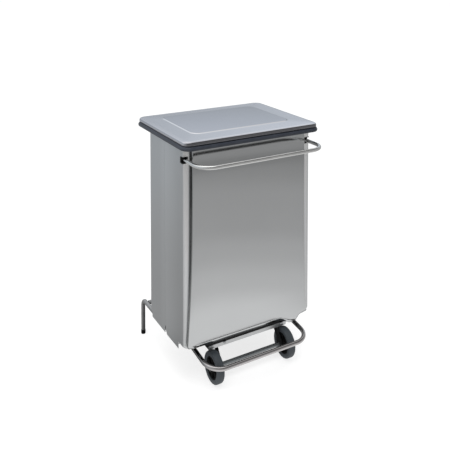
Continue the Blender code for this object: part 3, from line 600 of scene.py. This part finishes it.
def front_panel():
    """Folded sheet, wider and flatter towards the bottom."""
    low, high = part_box("front_panel")
    top, tab = high.z, low.z
    bend = PANEL_BEND
    rows = 72

    def section(z):
        drop = (top - z) / (top - tab)
        half = high.x - PANEL_FLARE + PANEL_FLARE * drop ** 3
        face = low.y + PANEL_TUCK * drop ** 3
        kick = max(0.0, (KICK_TOP - z) / (KICK_TOP - PANEL_BOTTOM))
        lean = max(0.0, (z - LEAN_FROM) / (top - LEAN_FROM))
        return half, face - PANEL_KICK * kick ** 2 + PANEL_LEAN * lean ** 2

    # even columns over the flat, as shares of its half width, and finer ones at the tab
    across = sorted({k / 24 for k in range(-22, 23)} | {0.51 + 0.008 * k for k in range(48)})
    columns = [("left", 0.0)] + [("bend_left", a) for a in range(0, 91, 15)]
    columns += [("flat", u) for u in across]
    columns += [("bend_right", a) for a in range(0, 91, 15)] + [("right", 0.0)]

    def place(column, z):
        kind, value = column
        half, face = section(z)
        a = math.radians(value)
        if kind == "left":
            return (-half, high.y, z)
        if kind == "right":
            return (half, high.y, z)
        if kind == "bend_left":
            return (-half + bend - bend * math.cos(a), face + bend - bend * math.sin(a), z)
        if kind == "bend_right":
            return (half - bend + bend * math.sin(a), face + bend - bend * math.cos(a), z)
        return ((half - bend) * value, face, z)

    bm = bmesh.new()
    grid = []
    for column in columns:
        x = place(column, PANEL_BOTTOM)[0]
        bottom = panel_bottom(x)
        if column[0] in ("left", "right"):
            bottom = PANEL_BOTTOM + PANEL_CORNER * 1.3
        bottom += KICK_LIFT
        grid.append([bm.verts.new(place(column, top + (bottom - top) * k / rows))
                     for k in range(rows + 1)])
    for a, b in zip(grid, grid[1:]):
        for k in range(rows):
            bm.faces.new((a[k], a[k + 1], b[k + 1], b[k]))
    obj = finish_piece("front_cover", bm, "panel", "body", ("front_panel",), 60.0, False)
    obj.data.materials.append(MATS["edge"])
    mod = obj.modifiers.new("sheet", "SOLIDIFY")
    mod.thickness = SHEET
    mod.offset = -1.0
    mod.material_offset_rim = 1
    return obj


# ---- bars and tubes ------------------------------------------------------
def handle():
    low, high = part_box("handle")
    half = high.x - BAR_R
    path = u_path(half, low.y + BAR_R, high.y, high.z - BAR_R, low.z + BAR_R)
    return sweep("push_bar", path, BAR_R, "bar", "body", ("handle",))


def grommets():
    """Linings of the corner slots: a back wall round the bar, a floor and a roof."""
    bar_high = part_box("handle")[1]
    for word, side in (("left", -1), ("right", 1)):
        low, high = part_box("handle_grommet_" + word)
        x = side * (bar_high.x - BAR_R)
        z = (low.z + high.z) / 2
        wall = high.y - GROMMET_WALL
        bm = bmesh.new()
        outer = fillet([(low.x, low.z), (high.x, low.z), (high.x, high.z), (low.x, high.z)],
                       0.0030, 6)
        hole = []
        for px, pz in outer:
            a = math.atan2(pz - z, px - x)
            hole.append((x + (BAR_R + FIT) * math.cos(a), z + (BAR_R + FIT) * math.sin(a)))
        rings = [[bm.verts.new((px, y, pz)) for px, pz in outline]
                 for outline, y in ((outer, wall), (outer, high.y), (hole, high.y), (hole, wall))]
        join_rings(bm, rings, closed_path=True)
        for z0, z1 in ((low.z, low.z + GROMMET_FLOOR), (high.z - GROMMET_ROOF, high.z)):
            made = bmesh.ops.create_cube(bm, size=1.0)["verts"]
            size = (high.x - low.x, wall - low.y + GROMMET_LAP, z1 - z0)
            middle = ((low.x + high.x) / 2, (wall + low.y + GROMMET_LAP) / 2, (z0 + z1) / 2)
            bmesh.ops.scale(bm, vec=size, verts=made)
            bmesh.ops.translate(bm, vec=middle, verts=made)
        finish_piece("bar_grommet_" + word, bm, "black_plastic", "body",
                     ("handle_grommet_" + word,), 45.0)


def base_tubes():
    for word in ("left", "right"):
        low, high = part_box("base_tube_" + word)
        x = (low.x + high.x) / 2
        level, rear = high.z - TUBE_R, high.y - TUBE_R
        bend = arc((rear - FOOT_BEND, level - FOOT_BEND), FOOT_BEND, 90, 0, 14)
        path = [(x, low.y, level), (x, 0.0, level)]
        path += [(x, y, z) for y, z in bend] + [(x, rear, low.z)]
        sweep("foot_tube_" + word, path, TUBE_R, "foot", "body", ("base_tube_" + word,))
        foot_cap(word)


def foot_cap(word):
    """Push-on plastic cap with a rounded sole and a lip round the tube."""
    low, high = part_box("foot_cap_" + word)
    x, y = (low.x + high.x) / 2, (low.y + high.y) / 2
    r = (high.x - low.x) / 2
    profile = [(0.0, low.z), (r * 0.72, low.z), (r * 0.90, low.z + 0.0007),
               (r, low.z + 0.0028), (r, high.z - 0.0030), (r * 0.97, high.z - 0.0024),
               (r, high.z - 0.0018), (r * 0.98, high.z - 0.0003), (r * 0.93, high.z),
               (0.0, high.z)]
    bm = bmesh.new()
    steps = 48
    rings = [[bm.verts.new((x + radius * math.cos(a), y + radius * math.sin(a), z))
              for a in (2 * math.pi * k / steps for k in range(steps))]
             for radius, z in profile[1:-1]]
    join_rings(bm, rings)
    bm.faces.new(rings[0])
    bm.faces.new(rings[-1])
    finish_piece("foot_sole_" + word, bm, "black_plastic", "body", ("foot_cap_" + word,), 50.0)


def pedal():
    low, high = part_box("pedal_loop")
    half = high.x - TUBE_R
    path = u_path(half, low.y + TUBE_R, high.y, low.z + TUBE_R, high.z - TUBE_R)
    sweep("pedal_bar", path, TUBE_R, "pedal", "pedal", ("pedal_loop",))


def straight_bars():
    """Round rods and tubes that lie along X."""
    straight_bar("pedal_cross_bar", "pedal_cross_tube", "pedal")
    straight_bar("pivot_rod", "pedal_pivot_rod", "body")
    straight_bar("rear_cross_bar", "rear_cross_tube", "body", "foot")
    straight_bar("wheel_axle", "axle", "body", "axle")


def straight_bar(name, node, body, look="pedal"):
    low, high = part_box(node)
    y, z = (low.y + high.y) / 2, (low.z + high.z) / 2
    radius = (high.z - low.z) / 2
    sweep(name, [(low.x, y, z), (0.0, y, z), (high.x, y, z)], radius, look, body, (node,))


# ---- wheels --------------------------------------------------------------
def both_sides(half_profile):
    """Closed wheel profile from its right half."""
    return [(r, -x) for r, x in reversed(half_profile)] + half_profile


def wheels():
    for word in ("left", "right"):
        low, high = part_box("tyre_" + word)
        centre = (low + high) / 2
        half, radius = (high.x - low.x) / 2, (high.z - low.z) / 2
        tyre(word, centre, half, radius)
        hub(word, centre, half)
        axle_cap(word)


def tyre(word, centre, half, radius):
    outline = both_sides([(radius, half - TREAD_EDGE), (radius - 0.0008, half - 0.0032),
                          (radius - SHOULDER, half), (RIM_R + 0.0040, half),
                          (RIM_R, half - 0.0012)])
    turned("tyre_rubber_" + word, fillet(outline, 0.0024, 4), centre, "tyre",
           "wheel_" + word, ("tyre_" + word,), 96, 50.0)


def hub(word, centre, half):
    """Dished plastic wheel centre with ribs on both faces."""
    bore = AXLE_R + SPIN_FIT
    lip = half - 0.0026
    boss = half + 0.0006
    rim = RIM_R - FIT
    outline = both_sides([(rim, lip), (rim - 0.0022, lip), (rim - 0.0036, WEB),
                          (BOSS_FOOT_R, WEB), (BOSS_R, boss), (bore, boss)])
    obj = turned("wheel_centre_" + word, fillet(outline, 0.0012, 3), centre,
                 "hub", "wheel_" + word, ("hub_" + word,), 96, 40.0)
    bm = bmesh.new()
    bm.from_mesh(obj.data)
    ribs, rib_long, rib_thick, rib_out = 6, 0.0200, 0.0026, 0.0235
    rib_wide = lip * 0.62
    for k in range(ribs):
        a = 2 * math.pi * (k + 0.5) / ribs
        for face in (-1, 1):
            made = bmesh.ops.create_cube(bm, size=1.0)["verts"]
            bmesh.ops.scale(bm, vec=(rib_wide, rib_long, rib_thick), verts=made)
            shift = Matrix.Translation((face * (WEB - 0.0002 + rib_wide / 2), rib_out, 0.0))
            turn = Matrix.Rotation(a, 4, "X")
            bmesh.ops.transform(bm, matrix=Matrix.Translation(centre) @ turn @ shift, verts=made)
    bm.to_mesh(obj.data)
    bm.free()


def axle_cap(word):
    low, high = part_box("axle_cap_" + word)
    centre = (low + high) / 2
    half, radius = (high.x - low.x) / 2, (high.z - low.z) / 2
    inner = AXLE_R + FIT
    outline = [(radius, -half), (radius, half * 0.2), (radius * 0.72, half), (inner, half),
               (inner, -half)]
    if word == "left":
        outline = [(r, -x) for r, x in outline]
    turned("axle_washer_" + word, fillet(outline, 0.0010, 3), centre, "black_plastic", "body",
           ("axle_cap_" + word,), 64, 40.0)


# ---- small pieces --------------------------------------------------------
def channel_screws():
    """Pan-head screws with a cross recess."""
    for word in ("left", "right"):
        node = "channel_screw_" + word
        low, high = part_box(node)
        x, z = (low.x + high.x) / 2, (low.z + high.z) / 2
        radius = (high.x - low.x) / 2
        bm = bmesh.new()
        # radius, extra radius along the cross's arms, and rise, as shares of the head
        sections = [(1.0, 0, 0.0), (1.0, 0, 0.22), (0.93, 0, 0.48), (0.80, 0, 0.72),
                    (0.62, 0, 0.88), (0.42, 0, 0.97), (0.14, 0.24, 0.97), (0.10, 0.16, 0.45)]
        steps = 40
        angles = [2 * math.pi * k / steps for k in range(steps)]
        rings = []
        for size, arm, rise in sections:
            y = high.y - (high.y - low.y) * rise
            reach = [radius * (size + arm * abs(math.cos(2 * a)) ** 3) for a in angles]
            rings.append([bm.verts.new((x + r * math.cos(a), y, z + r * math.sin(a)))
                          for a, r in zip(angles, reach)])
        join_rings(bm, rings)
        bm.faces.new(rings[0])
        bm.faces.new(rings[-1])
        finish_piece("pan_screw_" + word, bm, "zinc", "body", (node,), 35.0)


def paint_cad():
    """Materials and soft edges for the CAD nodes that stay visible."""
    sheets = {"rear_casing": "casing", "front_casing_left": "flanged",
              "front_casing_right": "flanged"}
    looks = {"brushed_stainless": "hidden", "bright_stainless": "bar",
             "black_steel": "black_steel", "black_plastic": "black_plastic",
             "seal_rubber": "seal", "tyre_rubber": "tyre"}
    slots = {entry["node"]: entry["material_slot"] for entry in frame["record"]["subparts"]}
    for name, obj in frame["nodes"].items():
        look = sheets.get(name) or looks[slots[name]]
        obj.data.materials.clear()
        obj.data.materials.append(MATS[look])
    for name in ("hinge_arm_left", "hinge_arm_right", "lid_lever_left", "lid_lever_right",
                 "lid_hinge_plate", "wheel_bracket_left", "wheel_bracket_right",
                 "cross_channel", "pivot_bracket_left", "pivot_bracket_right",
                 "pedal_lever", "rod_guide", "handle_clamp_left", "handle_clamp_right",
                 "ring_bracket_left", "ring_bracket_right", "top_rim", "panel_top_rail"):
        soften(frame["nodes"][name], 0.0004)
    soften(frame["nodes"]["channel_lip"], 0.0006, 3)


# ---- studio --------------------------------------------------------------
def grey(value, tint=0.0):
    return (value * (1 - tint), value, value * (1 + tint))


def ramp(tree, factor, stops):
    """Tones by place; stops are (place, brightness, blue tint)."""
    node = tree.nodes.new("ShaderNodeValToRGB")
    node.color_ramp.interpolation = "EASE"
    elements = node.color_ramp.elements
    while len(elements) > 1:
        elements.remove(elements[-1])
    elements[0].position = stops[0][0]
    elements[0].color = (*grey(*stops[0][1:]), 1)
    for position, value, tint in stops[1:]:
        elements.new(position).color = (*grey(value, tint), 1)
    tree.links.new(factor, node.inputs["Fac"])
    return node.outputs["Color"]


def mix_colour(tree, factor, first, second):
    node = tree.nodes.new("ShaderNodeMix")
    node.data_type = "RGBA"
    tree.links.new(factor, node.inputs["Factor"])
    for value, socket in ((first, node.inputs["A"]), (second, node.inputs["B"])):
        if isinstance(value, tuple):
            socket.default_value = (*value, 1)
        else:
            tree.links.new(value, socket)
    return node.outputs["Result"]


def vector_node(tree, operation, vector, second=None):
    node = tree.nodes.new("ShaderNodeVectorMath")
    node.operation = operation
    tree.links.new(vector, node.inputs[0])
    if second:
        node.inputs[1].default_value = second
    return node.outputs


def front_weight(tree, vector):
    """1 towards the front right, 0 towards the back left."""
    towards = vector_node(tree, "DOT_PRODUCT", vector, FRONT_RIGHT)["Value"]
    node = tree.nodes.new("ShaderNodeMath")
    node.operation = "MULTIPLY_ADD"
    node.use_clamp = True
    tree.links.new(towards, node.inputs[0])
    node.inputs[1].default_value = FRONT_GAIN
    node.inputs[2].default_value = FRONT_LEVEL
    return node.outputs["Value"]


def studio_world():
    """White to the camera; a soft grey studio in reflections and fill light."""
    world = bpy.data.worlds.new("studio")
    bpy.context.scene.world = world
    world.use_nodes = True
    tree = world.node_tree
    back = tree.nodes["Background"]
    coords = tree.nodes.new("ShaderNodeTexCoord")
    split = tree.nodes.new("ShaderNodeSeparateXYZ")
    tree.links.new(coords.outputs["Generated"], split.inputs["Vector"])
    behind = ramp(tree, split.outputs["Z"], WORLD_BEHIND)
    ahead = ramp(tree, split.outputs["Z"], WORLD_AHEAD)
    weight = front_weight(tree, coords.outputs["Generated"])
    seen = mix_colour(tree, weight, behind, ahead)
    path = tree.nodes.new("ShaderNodeLightPath")
    lit = mix_colour(tree, path.outputs["Is Diffuse Ray"], seen, grey(FILL_GREY))
    shown = mix_colour(tree, path.outputs["Is Camera Ray"], lit, grey(1.0))
    tree.links.new(shown, back.inputs["Color"])


def studio_floor():
    """Wide pale floor."""
    bm = bmesh.new()
    bmesh.ops.create_grid(bm, x_segments=1, y_segments=1, size=30.0)
    mesh = bpy.data.meshes.new("studio_floor")
    bm.to_mesh(mesh)
    bm.free()
    obj = bpy.data.objects.new("studio_floor", mesh)
    bpy.context.scene.collection.objects.link(obj)
    obj.location.z = -FLOOR_DROP
    mesh.materials.append(floor_material())


def floor_material():
    """Pale to the camera; in reflections it shows a painted pool of light that dims with distance
    and side, and a painted shadow right under the bin.
    """
    mat = bpy.data.materials.new("studio_floor")
    mat.use_nodes = True
    tree = mat.node_tree
    shader = tree.nodes["Principled BSDF"]
    shader.inputs["Base Color"].default_value = (*FLOOR_PAINT, 1)
    shader.inputs["Roughness"].default_value = 0.9
    shader.inputs["Specular IOR Level"].default_value = 0.1
    pale = tree.nodes.new("ShaderNodeEmission")
    pale.inputs["Color"].default_value = (*FLOOR_GLOW, 1)
    soft = tree.nodes.new("ShaderNodeAddShader")
    tree.links.new(shader.outputs["BSDF"], soft.inputs[0])
    tree.links.new(pale.outputs["Emission"], soft.inputs[1])
    geometry = tree.nodes.new("ShaderNodeNewGeometry")
    flat = vector_node(tree, "MULTIPLY", geometry.outputs["Position"], (1, 1, 0))["Vector"]
    reach = tree.nodes.new("ShaderNodeMath")
    reach.operation = "DIVIDE"
    tree.links.new(vector_node(tree, "LENGTH", flat)["Value"], reach.inputs[0])
    reach.inputs[1].default_value = FLOOR_REACH
    behind = ramp(tree, reach.outputs["Value"], FLOOR_PAINTED_LIGHT_BEHIND)
    ahead = ramp(tree, reach.outputs["Value"], FLOOR_PAINTED_LIGHT_AHEAD)
    weight = front_weight(tree, vector_node(tree, "NORMALIZE", flat)["Vector"])
    painted_floor_light = mix_colour(tree, weight, behind, ahead)
    emission = tree.nodes.new("ShaderNodeEmission")
    tree.links.new(painted_floor_light, emission.inputs["Color"])
    path = tree.nodes.new("ShaderNodeLightPath")
    mix = tree.nodes.new("ShaderNodeMixShader")
    tree.links.new(path.outputs["Is Glossy Ray"], mix.inputs["Fac"])
    tree.links.new(soft.outputs["Shader"], mix.inputs[1])
    tree.links.new(emission.outputs["Emission"], mix.inputs[2])
    tree.links.new(mix.outputs["Shader"], tree.nodes["Material Output"].inputs["Surface"])
    return mat


def aimed(aim):
    """Turn that points a lamp or a camera along a vector."""
    return aim.to_track_quat("-Z", "Y").to_euler()


def soft_light(name, place, size, power):
    """Square area light aimed at the bin's middle, left out of reflections."""
    data = bpy.data.lights.new(name, "AREA")
    data.shape = "RECTANGLE"
    data.size = data.size_y = size
    data.energy = power
    obj = bpy.data.objects.new(name, data)
    bpy.context.scene.collection.objects.link(obj)
    obj.location = place
    obj.rotation_euler = aimed(Vector(BIN_MIDDLE) - Vector(place))
    obj.visible_glossy = False


def camera():
    """Nearly level camera: the frame is shifted down to the bin, so that upright
    edges stay almost upright.  The shift is only for this viewpoint; a driver
    drops it when the camera is moved to another height."""
    pan, tilt = math.radians(CAMERA_PAN), math.radians(CAMERA_TILT)
    data = bpy.data.cameras.new("camera")
    data.sensor_width = CAMERA_SENSOR
    data.lens = CAMERA_LENS
    obj = bpy.data.objects.new("camera", data)
    bpy.context.scene.collection.objects.link(obj)
    obj.location = CAMERA_PLACE
    obj.rotation_euler = aimed(Vector((math.sin(pan) * math.cos(tilt),
                                       math.cos(pan) * math.cos(tilt), -math.sin(tilt))))
    driver = data.driver_add("shift_y").driver
    driver.type = "SCRIPTED"
    source = driver.variables.new()
    source.name = "height"
    source.type = "TRANSFORMS"
    source.targets[0].id = obj
    source.targets[0].transform_type = "LOC_Z"
    source.targets[0].transform_space = "WORLD_SPACE"
    driver.expression = ("%.5f if abs(height - %.5f) < 0.0005 else 0.0"
                         % (CAMERA_SHIFT, obj.location.z))
    bpy.context.scene.camera = obj


# ---- assembly ------------------------------------------------------------
paint_cad()
lid()
seal()
front_panel()
handle()
grommets()
base_tubes()
pedal()
straight_bars()
wheels()
channel_screws()

studio_world()
studio_floor()
soft_light("top_softbox", (-0.3, -0.6, 2.8), 2.4, 42.0)
soft_light("side_fill", (-2.6, -0.8, 1.6), 1.6, 16.0)
camera()
bpy.context.scene.view_settings.view_transform = "Standard"
